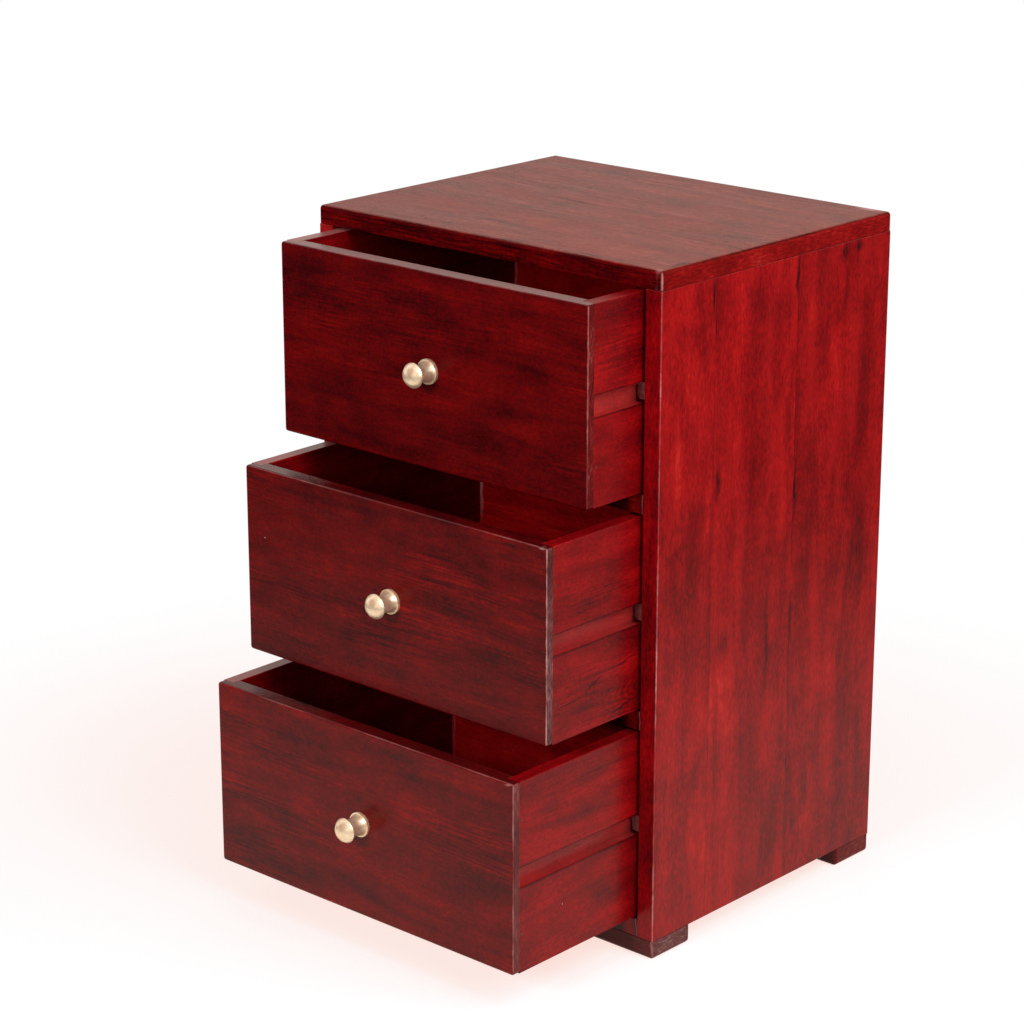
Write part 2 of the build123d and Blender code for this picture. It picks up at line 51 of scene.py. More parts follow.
# Light: a lamp's level sets how bright it makes a surface that faces it, whatever its distance
LIGHT_TARGET = Vector((0, 0.03, 0.2))
KEY_AZIMUTH = math.radians(84)
KEY_ELEVATION = math.radians(40)
KEY_DISTANCE = 1.35
KEY_SIZE = 1.0
KEY_LEVEL = 0.82
FILL_AZIMUTH = math.radians(2)
FILL_ELEVATION = math.radians(23.3)
FILL_DISTANCE = 2.3
FILL_SIZE = 0.5
FILL_LEVEL = 0.53

# Room: its soft light on the chest, how pale it is in reflections, and its dim end in front of the chest
ROOM_LEVEL = 0.3
MIRROR_COLOUR = (255, 250, 240)
DIM_COLOUR = (150, 104, 80)
DIM_AZIMUTH = math.radians(-20)
DIM_ELEVATION = math.radians(24)
DIM_EDGE_SHARES = (0.76, 0.93)

# Floor: white to the eye, with the chest's shadow near it, and darker in far reflections
FLOOR_RADIUS = 4.0
FLOOR_CORNERS = 96
FLOOR_COLOUR = (206, 203, 202)
FLOOR_LIGHT_SHARE = 0.92
FLOOR_SHADE_SHARES = (0.05, 0.33, 0.4)
FLOOR_SHADOW_REACH = (0.24, 0.6)
FLOOR_MIRROR_REACH = (0.25, 1.0)
FLOOR_FAR_LEVEL = 0.12
FLOOR_MIRROR_COLOUR = (255, 247, 232)

# Grain: the axes with the fibres' own first, and each feature's size along and across them, with its detail
GRAIN_ORDER = {"X": "XYZ", "Y": "YZX", "Z": "ZXY"}
GRAIN_FEATURES = {
    "band": ((0.42, 0.03), 2.0),
    "cloud": ((0.045, 0.015), 3.0),
    "curl": ((0.011, 0.024), 2.0),
    "mottle": ((0.0024, 0.0016), 3.0),
    "streak": ((0.03, 0.0012), 2.0),
}
SMOOTH_DETAIL = 1.0
FINE_DETAIL = 4.0
CLUSTER_SIZE = (0.11, 0.026)
CLUSTER_SHARES = (0.42, 0.64)
CLUSTER_LEVELS = (0.3, 1.5)
SEED_STEP = Vector((1.37, 2.11, 0.73))
BOARD_SHIFT = Vector((0.41, 0.23, 0.67))
WARP_SIZE = (0.16, 0.08)
WARP_REACH = 0.008
FIGURE_SIZE = (0.3, 0.05)
FIGURE_DETAIL = 1.5
FIGURE_LINES = 16.0
FIGURE_SHARES = (0.45, 0.95)
PORE_SIZE = (0.007, 0.0005)
PORE_SHARES = (0.6, 0.72)
PORE_COLOUR = (20, 5, 6)
WAVE_SIZE = (0.09, 0.03)
RING_SPACING = 0.0026
RING_CENTRE = Vector((0, 0.031, 0.047))
RING_DEPTH = 0.03
SPECKLE_SIZE = 0.0009
SPECKLE_LENGTH = 0.005
END_CLOUD_SIZE = (0.06, 0.028)
END_CLOUD_DETAIL = 3.0
GROOVE_REACH = 0.0065
GROOVE_INSET = 0.001
# Painted light: how much brighter the stain is inside the drawer sides' groove
GROOVE_PAINTED_LIGHT = 0.16
# Share of painted sheen inside the groove
GROOVE_PAINTED_SHEEN_SHARE = 0.08
GROOVE_LINE = 0.0004
# Painted shade: how much darker the thin lines along the groove's edges are
GROOVE_PAINTED_SHADE_CHANGE = -0.24
# How deep the painted band of sheen or shade on a board's upper edge reaches
PAINTED_RIM_DEPTH = 0.002

# How far a face must lean to count as a front, an upper or an end face, from not at all to fully
FRONT_LEAN = (-0.6, -0.85)
UPPER_LEAN = (0.7, 0.95)
END_LEAN = (0.6, 0.85)

# Relief of the surface, and how clouds and wear change its roughness
FIBRE_RELIEF = 1.6e-5
PORE_RELIEF = 2.0e-5
WAVE_RELIEF = 1.6e-4
CLOUD_ROUGHNESS_CHANGE = 0.2
WEAR_ROUGHNESS_CHANGE = 0.2

# Metal and filler
METAL_SHARE = 0.66
METAL_CLOUD_ROUGHNESS = 0.6
METAL_ROUGHNESS_CHANGE = 0.2
METAL_LINE_SIZE = 0.0004
METAL_LINE_RELIEF = 3.0e-6
BRASS_ROUGHNESS = 0.32
BRASS_CLOUD_SIZE = 0.003
LATHE_STRETCH = (0.1, 1.0, 0.1)
STEEL_ROUGHNESS = 0.35
STEEL_CLOUD_SIZE = 0.002
FILLER_ROUGHNESS = 0.45
FILLER_CLOUD_SIZE = 0.001
FILLER_RELIEF = 4.0e-5

# Wear along edges, marks and dust
WEAR_REACH = (0.0003, 0.0008)
WEAR_RAGGED = 0.0011
TOP_EDGE_SCALE = 1.8
WEAR_NOISE_SIZE = 0.009
WEAR_NOISE_ROUGHNESS = 0.65
WEAR_PATCH_SIZE = 0.05
WEAR_PATCH_SHARES = (0.38, 0.62)
WEAR_LEAST_SHARE = 0.2
SEAM_HALF_WIDTH = 0.0008
SEAM_CHANGE = -0.2
SEAM_PATCH_SIZE = 0.03
SEAM_PATCH_SHARES = (0.42, 0.6)
WANDER_SIZE = 0.012
WANDER_REACH = 0.004
DUST_SPACING = 0.034
DUST_RADIUS = 0.0003

# Colours as a screen shows them, from 0 to 255
FULL_LEVEL = 255.0
RED_STAIN = ((0.0, (22, 3, 6)), (0.28, (78, 3, 8)), (0.5, (126, 4, 9)), (0.72, (166, 12, 14)),
             (1.0, (206, 48, 34)))
DEEP_STAIN = ((0.0, (18, 2, 4)), (0.3, (60, 2, 5)), (0.52, (97, 3, 5)), (0.75, (136, 9, 6)),
              (1.0, (184, 34, 18)))
FOOT_STAIN = ((0.0, (30, 8, 9)), (0.4, (82, 30, 29)), (0.7, (118, 52, 50)), (1.0, (156, 92, 88)))
PALE_WOOD = ((0.0, (150, 112, 74)), (0.5, (205, 170, 124)), (1.0, (228, 200, 158)))
# Painted sheen: a paler, browner stain mixed in on the top's upward face for the reflection of the pale
# room
TOP_PAINTED_SHEEN_STAIN = ((0.25, (82, 26, 21)), (0.45, (124, 52, 43)), (0.58, (138, 60, 50)), (0.8, (164, 84, 70)))
RED_ENDS = ((0.0, (48, 6, 8)), (0.45, (118, 14, 14)), (0.7, (148, 20, 18)), (1.0, (170, 50, 44)))
DARK_ENDS = ((0.0, (48, 8, 9)), (0.45, (94, 16, 17)), (0.7, (118, 34, 32)), (1.0, (165, 96, 92)))
RUNNER_ENDS = ((0.0, (60, 18, 18)), (0.5, (106, 48, 47)), (1.0, (152, 98, 95)))
WORN_ENDS = ((0.0, (36, 8, 10)), (0.42, (86, 36, 36)), (0.68, (114, 66, 64)), (1.0, (176, 134, 130)))
FADED_ENDS = ((0.0, (48, 10, 11)), (0.45, (98, 32, 31)), (0.7, (118, 50, 48)), (1.0, (156, 100, 96)))
WORN = (206, 152, 148)
# Dark colour for the top's darkened edges, and for painted shade on the top edges of the middle and lower
# fronts
DARK_EDGE_AND_PAINTED_SHADE = (34, 8, 9)
# Pale colour of painted sheen, the reflection of the pale room, on upper edges and in the drawer sides'
# groove
PAINTED_SHEEN_COLOUR = (172, 134, 128)
DUST = (226, 192, 188)
BRASS = ((0.2, (196, 148, 112)), (0.42, (246, 212, 176)), (0.6, (253, 230, 200)), (1.0, (255, 245, 228)))
STEEL = ((0.0, (96, 92, 88)), (0.5, (150, 148, 145)), (1.0, (188, 186, 184)))
FILLER = ((0.0, (52, 10, 12)), (0.5, (94, 14, 16)), (1.0, (130, 30, 28)))


def colour(levels):
    """Scene colour, with its alpha, of a screen colour."""
    linear = Color([level / FULL_LEVEL for level in levels]).from_srgb_to_scene_linear()
    return (*linear, WHOLE)


def direction(azimuth, elevation):
    """Unit vector away from the chest. Azimuth 0 is the front, and a quarter turn is the right side."""
    flat = math.cos(elevation)
    return Vector((math.sin(azimuth) * flat, -math.cos(azimuth) * flat, math.sin(elevation)))


def along_axis(axis, length=WHOLE):
    """Vector of a length along an axis that is named by its letter."""
    return Vector([length if name == axis else ZERO for name in AXES])


class Graph:
    """A node tree, with short ways to add nodes to it."""

    def __init__(self, tree):
        self.tree = tree
        tree.nodes.clear()

    def feed(self, socket, value):
        """Link a socket to another, or set its value."""
        if isinstance(value, bpy.types.NodeSocket):
            self.tree.links.new(value, socket)
        else:
            socket.default_value = value

    def add(self, kind, inputs=None, **settings):
        node = self.tree.nodes.new("ShaderNode" + kind)
        for name, value in settings.items():
            setattr(node, name, value)
        for name, value in (inputs or {}).items():
            self.feed(node.inputs[name], value)
        return node

    def math(self, operation, *values):
        return self.add("Math", dict(enumerate(values)), operation=operation).outputs[0]

    def vector(self, operation, *values):
        return self.add("VectorMath", dict(enumerate(values)), operation=operation).outputs["Vector"]

    def measure(self, operation, *values):
        """A vector operation whose result is a number."""
        return self.add("VectorMath", dict(enumerate(values)), operation=operation).outputs["Value"]

    def split(self, vector):
        parts = self.add("SeparateXYZ", {"Vector": vector}).outputs
        return {axis: parts[axis] for axis in AXES}

    def join(self, x, y, z):
        return self.add("CombineXYZ", {"X": x, "Y": y, "Z": z}).outputs["Vector"]

    def scaled(self, vector, size):
        """The vector measured in a feature's length along and across the grain."""
        along, across = size
        return self.vector("MULTIPLY", vector, (WHOLE / along, WHOLE / across, WHOLE / across))

    def noise(self, vector, detail=2.0, roughness=HALF, output=NOISE_VALUE):
        inputs = {"Vector": vector, "Scale": WHOLE, "Detail": detail, "Roughness": roughness}
        return self.add("TexNoise", inputs).outputs[output]

    def even_noise(self, vector, size, **settings):
        """Noise with features of the same size every way."""
        return self.noise(self.vector("DIVIDE", vector, (size,) * 3), **settings)

    def fade(self, value, start, end, low=ZERO, high=WHOLE):
        """A smooth step from low at the start to high at the end."""
        inputs = {"Value": value, "From Min": start, "From Max": end, "To Min": low, "To Max": high}
        return self.add("MapRange", inputs, interpolation_type="SMOOTHSTEP").outputs["Result"]

    def ramp(self, value, stops):
        node = self.add("ValToRGB", {"Fac": value})
        elements = node.color_ramp.elements
        while len(elements) < len(stops):
            elements.new(WHOLE)
        for element, (place, levels) in zip(elements, stops):
            element.position = place
            element.color = colour(levels)
        return node.outputs["Color"]

    def mix(self, share, first, second):
        """Mix of two colours."""
        node = self.add("Mix", data_type="RGBA")
        self.feed(node.inputs["Factor"], share)
        self.feed(node.inputs[MIX_FIRST], first)
        self.feed(node.inputs[MIX_SECOND], second)
        return node.outputs[MIX_RESULT]

    def blend(self, share, first, second):
        """Mix of two shaders."""
        return self.add("MixShader", {0: share, 1: first, 2: second}).outputs[0]


def new_material(name):
    material = bpy.data.materials.new(name)
    material.use_nodes = True
    return material, Graph(material.node_tree)


def finish_material(graph, base, roughness, relief, **constants):
    """Join colour, roughness and relief in one shader, with what is the same all over set on it."""
    bump = graph.add("Bump", {"Height": relief, "Strength": WHOLE, "Distance": WHOLE})
    inputs = {"Base Color": base, "Roughness": roughness, "Normal": bump.outputs[0]}
    shader = graph.add("BsdfPrincipled", inputs)
    for name, value in constants.items():
        shader.inputs[name.replace("_", " ")].default_value = value
    graph.add("OutputMaterial", {"Surface": shader.outputs[0]})


def dress(node, material):
    """Put a material on a node of the frame."""
    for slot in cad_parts[node].material_slots:
        slot.material = material


class Look:
    """How a kind of board is stained and finished."""

    def __init__(self, stain, tone=0.5, ends=DARK_ENDS, stretch=1.0, band=0.34, cloud=0.4, curl=0.14,
                 mottle=0.3, streak=0.34, figure=0.06, pores=0.3, roughness=0.26, gloss=0.17,
                 painted_front_shade=ZERO, painted_sheen_stain=None):
        self.stain = stain
        self.tone = tone
        self.ends = ends
        self.stretch = stretch
        self.changes = {"band": band, "cloud": cloud, "curl": curl, "mottle": mottle, "streak": streak}
        self.figure = figure
        self.pores = pores
        self.roughness = roughness
        self.gloss = gloss
        # Painted shade: how much darker the faces that look to the front are
        self.painted_front_shade = painted_front_shade
        # Painted sheen: a stain mixed in on upward faces
        self.painted_sheen_stain = painted_sheen_stain


# The case gets painted shade on its front edges
CASE = Look(RED_STAIN, tone=0.64, stretch=1.4, cloud=0.5, curl=0.26, mottle=0.5, streak=0.14,
            painted_front_shade=-0.16)
# The top gets painted sheen on its upward face, and painted shade on its front edge
TOP = Look(DEEP_STAIN, tone=0.55, ends=RED_ENDS, cloud=0.5, mottle=0.5, streak=0.7, pores=0.6,
           gloss=0.018, painted_front_shade=-0.1, painted_sheen_stain=TOP_PAINTED_SHEEN_STAIN)
SHADED = Look(DEEP_STAIN, tone=0.36)
FRONT = Look(DEEP_STAIN, tone=0.44, cloud=0.5, mottle=0.4, streak=0.38, gloss=0.05)
WORN_FRONT = Look(DEEP_STAIN, tone=0.45, ends=WORN_ENDS, cloud=0.5, mottle=0.4, streak=0.5)
FADED_FRONT = Look(DEEP_STAIN, tone=0.5, ends=FADED_ENDS, cloud=0.5, mottle=0.4, streak=0.45)
DRAWER = Look(RED_STAIN, tone=0.5, cloud=0.5, mottle=0.4, roughness=0.32)
# A brighter copy of the drawer sides' stain, as painted light on the drawers' inner backs
INNER_PAINTED_LIGHT = Look(RED_STAIN, tone=0.64, cloud=0.5, mottle=0.4, roughness=0.32)
PANEL = Look(DEEP_STAIN, tone=0.44, roughness=0.45, gloss=0.2)
RUNNER = Look(RED_STAIN, tone=0.6, ends=RUNNER_ENDS, roughness=0.45, gloss=0.2)
FOOT = Look(FOOT_STAIN, tone=0.46, ends=WORN_ENDS, cloud=0.6, roughness=0.4, gloss=0.12)
BACK_FOOT = Look(FOOT_STAIN, tone=0.5, ends=DARK_ENDS, cloud=0.6, roughness=0.4, gloss=0.1)
BARE = Look(PALE_WOOD, ends=PALE_WOOD, roughness=0.6, gloss=0.3)


class Mark:
    """A spot on a board's widest face: its middle in shares of the face, its half sizes in metres,
    how strong it is, how many rings it holds and by how many degrees it is turned."""

    def __init__(self, centre_shares, half_sizes, strength, rings=0, turn=0):
        self.centre_shares = centre_shares
        self.half_sizes = half_sizes
        self.strength = strength
        self.rings = rings
        self.turn = math.radians(turn)


# Boards glued edge to edge in the side: where the seams lie across it, and how the stain changes past each
SIDE_SEAM_SHARES = ((0.225, -0.02), (0.58, -0.04))
SIDE_MARKS = (
    Mark((0.574, 0.965), (0.0022, 0.018), -0.5),
    Mark((0.588, 0.64), (0.0013, 0.03), -0.3),
    Mark((0.215, 0.975), (0.0013, 0.013), -0.45),
    Mark((0.246, 0.69), (0.0035, 0.016), -0.35),
    Mark((0.79, 0.984), (0.005, 0.009), -0.3),
    Mark((0.85, 0.99), (0.005, 0.006), -0.32),
    Mark((0.8, 0.93), (0.003, 0.02), -0.14, turn=-6),
    Mark((0.12, 0.56), (0.022, 0.06), -0.12),
    Mark((0.4, 0.5), (0.14, 0.08), -0.06),
    Mark((0.12, 0.16), (0.022, 0.11), -0.03),
    Mark((0.44, 0.14), (0.06, 0.09), -0.13),
    Mark((0.8, 0.2), (0.05, 0.12), -0.06),
    Mark((0.544, 0.74), (0.006, 0.03), -0.18),
    Mark((0.075, 0.75), (0.006, 0.04), 0.16),
    Mark((0.2, 0.64), (0.004, 0.025), 0.16),
    Mark((0.34, 0.92), (0.012, 0.03), 0.12),
    Mark((0.755, 0.82), (0.014, 0.03), 0.14),
    Mark((0.475, 0.42), (0.003, 0.05), -0.22),
    Mark((0.282, 0.433), (0.011, 0.013), -0.2),
    Mark((0.583, 0.43), (0.003, 0.025), -0.22),
    Mark((0.675, 0.13), (0.006, 0.02), -0.18),
    Mark((0.616, 0.09), (0.0025, 0.012), -0.2),
)
TOP_MARKS = (
    Mark((0.985, 0.09), (0.003, 0.012), -0.5),
    Mark((0.42, 0.52), (0.004, 0.002), -0.3),
    Mark((0.72, 0.3), (0.006, 0.0016), -0.3),
    Mark((0.2, 0.75), (0.012, 0.002), -0.2),
)
TOP_CHIPS = (Mark((0.946, 0.986), (0.0135, 0.006), 0.8), Mark((0.985, 0.012), (0.003, 0.003), 0.4))
CRACKED_SIDE_MARKS = (
    Mark((0.065, 0.18), (0.014, 0.0009), -0.4, turn=4),
    Mark((0.175, 0.228), (0.011, 0.0009), -0.4, turn=26),
    Mark((0.295, 0.282), (0.017, 0.0009), -0.4, turn=6),
    Mark((0.306, 0.056), (0.015, 0.0009), -0.4, turn=17),
    Mark((0.4, 0.14), (0.058, 0.022), 0.09, rings=11, turn=8),
)
THIN_GLUE = (Mark((0.007, 0.5), (0.0014, 0.07), 0.2),)
THICK_GLUE = (Mark((0.008, 0.62), (0.0024, 0.045), 0.55), Mark((0.02, 0.84), (0.004, 0.006), 0.4))
CORNER_GLUE = (Mark((0.985, 0.992), (0.0035, 0.0009), 0.4),)
MIDDLE_FRONT_MARKS = (Mark((0.45, 0.95), (0.14, 0.026), -0.1),)
LOWER_FRONT_MARKS = (Mark((0.6, 0.1), (0.13, 0.03), 0.06),)
JOINT_RED = (Mark((0.972, 0.0), (0.007, 0.006), 0.45),)
JOINT_GLUE = (Mark((0.997, 0.0), (0.0006, 0.002), 0.2),)
FOOT_CHIPS = {"left": (Mark((0.005, 0.005), (0.0014, 0.0014), 0.35),),
              "right": (Mark((0.995, 0.005), (0.0014, 0.0014), 0.35),)}

# Edges that are worn or darkened, each named by the two faces that meet there, and by how much
RIGHT_SIDE_WEAR = (("+X-Y", 0.55), ("+X+Y", 0.4))
LEFT_SIDE_WEAR = (("-X-Y", 0.6), ("-X+Y", 0.4))
TOP_WEAR = (("+X-Y", 0.6), ("-X-Y", 0.4))
TOP_DARK_EDGES = (("+X+Z", 0.8), ("-Y+Z", 0.7))
FRONT_WEAR = (("-X-Y", 0.3), ("+Z-Y", 0.2))

# Painted sheen and painted shade on upper edges, each with its colour and its share
LEFT_SIDE_PAINTED_SHEEN = (PAINTED_SHEEN_COLOUR, 0.35)
UPPER_FRONT_PAINTED_SHEEN = (PAINTED_SHEEN_COLOUR, 0.45)
MIDDLE_FRONT_PAINTED_SHADE = (DARK_EDGE_AND_PAINTED_SHADE, 0.3)
LOWER_FRONT_PAINTED_SHADE = (DARK_EDGE_AND_PAINTED_SHADE, 0.55)


class Board:
    """The material of one board, worked out step by step."""

    count = 0

    def __init__(self, node, grain, look, seams=(), marks=(), chips=(), worn=(), grimy=(), rim=None,
                 groove=False, edge_scale=WHOLE):
        Board.count += 1
        self.seed_shift = SEED_STEP * Board.count
        self.grain = grain
        self.look = look
        self.seams = seams
        self.wear_reach = [reach * edge_scale for reach in WEAR_REACH]
        self.low, self.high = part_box(node)
        size = self.high - self.low
        thin = min(AXES, key=lambda axis: size[AXES.index(axis)])
        self.face = [axis for axis in AXES if axis != thin]
        self.material, self.graph = new_material(node)
        coordinates = self.graph.add("TexCoord")
        self.place = coordinates.outputs["Object"]
        self.normal = coordinates.outputs["Normal"]
        self.lengthwise = self.grain_place()
        self.wandering = self.wandering_place()
        self.paint(marks, chips, worn, grimy, rim, groove)

    def between(self, axis, share):
        """The place at a share of the board's length along an axis."""
        index = AXES.index(axis)
        return self.low[index] + share * (self.high[index] - self.low[index])

    def past_seam(self, seam):
        """1 past a seam, which lies at a share of the board's width along Y, and 0 before it."""
        return self.graph.math("GREATER_THAN", self.graph.split(self.place)["Y"], self.between("Y", seam))

    def seam_change(self):
        """How the stain changes past each glued seam, and in the dark line along it."""
        graph = self.graph
        change = ZERO
        for seam, step in self.seams:
            change = graph.math("MULTIPLY_ADD", self.past_seam(seam), step, change)
            offset = graph.math("SUBTRACT", graph.split(self.place)["Y"], self.between("Y", seam))
            line = graph.fade(graph.math("ABSOLUTE", offset), SEAM_HALF_WIDTH, ZERO, ZERO, SEAM_CHANGE)
            open_share = graph.fade(graph.even_noise(self.place, SEAM_PATCH_SIZE), *SEAM_PATCH_SHARES)
            change = graph.math("MULTIPLY_ADD", line, open_share, change)
        return change

    def grain_place(self):
        """Place along and across the grain, gently warped, and moved on past each glued seam."""
        graph = self.graph
        place = graph.vector("ADD", self.place, self.seed_shift)
        for seam, _ in self.seams:
            past = self.past_seam(seam)
            shift = graph.vector("MULTIPLY", graph.join(past, past, past), BOARD_SHIFT)
            place = graph.vector("ADD", place, shift)
        parts = graph.split(place)
        straight = graph.join(*(parts[axis] for axis in GRAIN_ORDER[self.grain]))
        drift = graph.noise(graph.scaled(straight, WARP_SIZE), output=NOISE_COLOUR)
        centred = graph.vector("SUBTRACT", drift, CENTRE)
        warp = graph.vector("MULTIPLY", centred, (ZERO, WARP_REACH, WARP_REACH))
        return graph.vector("ADD", straight, warp)

    def features(self):
        """The grain's features, centred on zero, and the dark lines of growth."""
        graph = self.graph
        features = {}
        for name, ((along, across), detail) in GRAIN_FEATURES.items():
            size = (along * self.look.stretch, across)
            noise = graph.noise(graph.scaled(self.lengthwise, size), detail=detail)
            features[name] = graph.math("SUBTRACT", noise, HALF)
        cluster = graph.noise(graph.scaled(self.lengthwise, CLUSTER_SIZE), detail=SMOOTH_DETAIL)
        cluster = graph.fade(cluster, *CLUSTER_SHARES, *CLUSTER_LEVELS)
        features["streak"] = graph.math("MULTIPLY", features["streak"], cluster)
        field = graph.noise(graph.scaled(self.lengthwise, FIGURE_SIZE), detail=FIGURE_DETAIL)
        growth = graph.math("PINGPONG", graph.math("MULTIPLY", field, FIGURE_LINES), WHOLE)
        features["figure"] = graph.fade(growth, *FIGURE_SHARES)
        return features

    def spot(self, mark):
        """How much of a mark lies at a point, from 0 to 1."""
        graph = self.graph
        first, second = self.face
        first_share, second_share = mark.centre_shares
        half_first, half_second = mark.half_sizes
        sine, cosine = math.sin(mark.turn), math.cos(mark.turn)
        middle = along_axis(first, self.between(first, first_share))
        middle += along_axis(second, self.between(second, second_share))
        away = graph.vector("SUBTRACT", self.wandering, middle)
        lengthwise = (along_axis(first, cosine) + along_axis(second, sine)) / half_first
        sideways = (along_axis(second, cosine) - along_axis(first, sine)) / half_second
        shares = graph.join(graph.measure("DOT_PRODUCT", away, lengthwise),
                            graph.measure("DOT_PRODUCT", away, sideways), ZERO)
        reach = graph.measure("LENGTH", shares)
        nearness = graph.fade(reach, WHOLE, ZERO)
        if mark.rings:
            ripple = graph.math("SINE", graph.math("MULTIPLY", reach, mark.rings * TURN))
            nearness = graph.math("MULTIPLY", nearness, ripple)
        return nearness

    def end_colour(self):
        """Growth rings and open pores, where the grain ends at a face."""
        graph = self.graph
        from_pith = graph.vector("SUBTRACT", self.lengthwise, self.seed_shift + RING_CENTRE)
        across = graph.vector("MULTIPLY", from_pith, (ZERO, WHOLE, WHOLE))
        turns = graph.math("MULTIPLY", graph.measure("LENGTH", across), TURN / RING_SPACING)
        rings = graph.math("SINE", turns)
        wide_axes = [axis for axis in self.face if axis != self.grain]
        sizes = [SPECKLE_LENGTH if axis in wide_axes else SPECKLE_SIZE for axis in AXES]
        speckle = graph.noise(graph.vector("DIVIDE", self.place, sizes))
        cloud = graph.noise(graph.scaled(self.lengthwise, END_CLOUD_SIZE), detail=END_CLOUD_DETAIL)
        mottle = graph.math("ADD", speckle, graph.math("SUBTRACT", cloud, HALF))
        return graph.ramp(graph.math("MULTIPLY_ADD", rings, RING_DEPTH, mottle), self.look.ends)

    def edge_band(self, edges):
        """A ragged band along chosen edges, each named by the two faces that meet there."""
        graph = self.graph
        above_low = graph.split(graph.vector("SUBTRACT", self.place, self.low))
        below_high = graph.split(graph.vector("SUBTRACT", self.high, self.place))
        gaps = {}
        for axis in AXES:
            gaps["-" + axis] = above_low[axis]
            gaps["+" + axis] = below_high[axis]
        ragged = graph.even_noise(self.place, WEAR_NOISE_SIZE, detail=FINE_DETAIL,
                                  roughness=WEAR_NOISE_ROUGHNESS)
        rough = graph.math("MULTIPLY", graph.math("SUBTRACT", ragged, HALF), WEAR_RAGGED)
        patches = graph.even_noise(self.place, WEAR_PATCH_SIZE, detail=SMOOTH_DETAIL)
        patches = graph.fade(patches, *WEAR_PATCH_SHARES, WEAR_LEAST_SHARE, WHOLE)
        band = ZERO
        full_reach, last_reach = self.wear_reach
        for faces, amount in edges:
            edge = graph.math("MAXIMUM", gaps[faces[:2]], gaps[faces[2:]])
            here = graph.fade(graph.math("ADD", edge, rough), last_reach, full_reach, ZERO, amount)
            band = graph.math("MAXIMUM", band, here)
        return graph.math("MULTIPLY", band, patches)

    def dust(self):
        """1 in scattered specks, and 0 elsewhere."""
        graph = self.graph
        inputs = {"Vector": graph.vector("DIVIDE", self.place, (DUST_SPACING,) * 3), "Scale": WHOLE}
        gap = graph.add("TexVoronoi", inputs).outputs["Distance"]
        return graph.math("LESS_THAN", gap, DUST_RADIUS / DUST_SPACING)

    def groove(self):
        """1 inside the groove along the middle of a drawer side, and 0 elsewhere."""
        graph = self.graph
        parts = graph.split(self.place)
        from_left = graph.math("SUBTRACT", parts["X"], self.low.x)
        from_right = graph.math("SUBTRACT", self.high.x, parts["X"])
        inset = graph.math("GREATER_THAN", graph.math("MINIMUM", from_left, from_right), GROOVE_INSET)
        near = graph.math("COMPARE", parts["Z"], self.between("Z", HALF), GROOVE_REACH)
        return graph.math("MULTIPLY", inset, near)

    def painted_groove_shade_lines(self):
        """1 along the groove's upper and lower edges, where painted shade goes, and 0 elsewhere."""
        graph = self.graph
        parts = graph.split(self.place)
        height = graph.math("SUBTRACT", parts["Z"], self.between("Z", HALF))
        line = graph.math("COMPARE", graph.math("ABSOLUTE", height), GROOVE_REACH, GROOVE_LINE)
        from_middle = graph.math("ABSOLUTE", parts["X"])
        outside = graph.math("GREATER_THAN", from_middle, abs(self.between("X", HALF)))
        return graph.math("MULTIPLY", line, outside)

    def wandering_place(self):
        """The place, shifted a little this way and that, so that marks have uneven outlines."""
        graph = self.graph
        drift = graph.even_noise(self.place, WANDER_SIZE, output=NOISE_COLOUR)
        wander = graph.vector("SCALE", graph.vector("SUBTRACT", drift, CENTRE))
        wander.node.inputs["Scale"].default_value = WANDER_REACH
        return graph.vector("ADD", self.place, wander)

    def stain_tone(self, features, marks, groove):
        """How deep or bright the stain is at a point, as a place on its ramp, with painted shade on faces
        that look to the front, painted light in the groove and painted shade along its edges.
        """
        graph = self.graph
        look = self.look
        tone = graph.math("ADD", self.seam_change(), look.tone)
        for name, amount in look.changes.items():
            tone = graph.math("MULTIPLY_ADD", features[name], amount, tone)
        tone = graph.math("MULTIPLY_ADD", features["figure"], -look.figure, tone)
        for mark in marks:
            tone = graph.math("MULTIPLY_ADD", self.spot(mark), mark.strength, tone)
        # Painted shade on faces that look to the front
        frontward = graph.fade(graph.split(self.normal)["Y"], *FRONT_LEAN)
        tone = graph.math("MULTIPLY_ADD", frontward, look.painted_front_shade, tone)
        # Painted light inside the groove, and painted shade along its edges
        if groove:
            tone = graph.math("MULTIPLY_ADD", self.groove(), GROOVE_PAINTED_LIGHT, tone)
            tone = graph.math("MULTIPLY_ADD", self.painted_groove_shade_lines(), GROOVE_PAINTED_SHADE_CHANGE, tone)
        return tone

    def stained(self, tone, pores, rim, groove):
        """The stained wood's colour, with its end grain, its pores, painted sheen on upward faces and in
        the groove, and a painted band of sheen or shade on its upper edge.
        """
        graph = self.graph
        look = self.look
        base = graph.ramp(tone, look.stain)
        upward = graph.fade(graph.split(self.normal)["Z"], *UPPER_LEAN)
        # Painted sheen on upward faces
        if look.painted_sheen_stain:
            base = graph.mix(upward, base, graph.ramp(tone, look.painted_sheen_stain))
        # Painted sheen inside the groove
        if groove:
            groove_painted_sheen = graph.math("MULTIPLY", self.groove(), GROOVE_PAINTED_SHEEN_SHARE)
            base = graph.mix(groove_painted_sheen, base, colour(PAINTED_SHEEN_COLOUR))
        facing = graph.math("ABSOLUTE", graph.measure("DOT_PRODUCT", self.normal, along_axis(self.grain)))
        base = graph.mix(graph.fade(facing, *END_LEAN), base, self.end_colour())
        base = graph.mix(graph.math("MULTIPLY", pores, look.pores), base, colour(PORE_COLOUR))
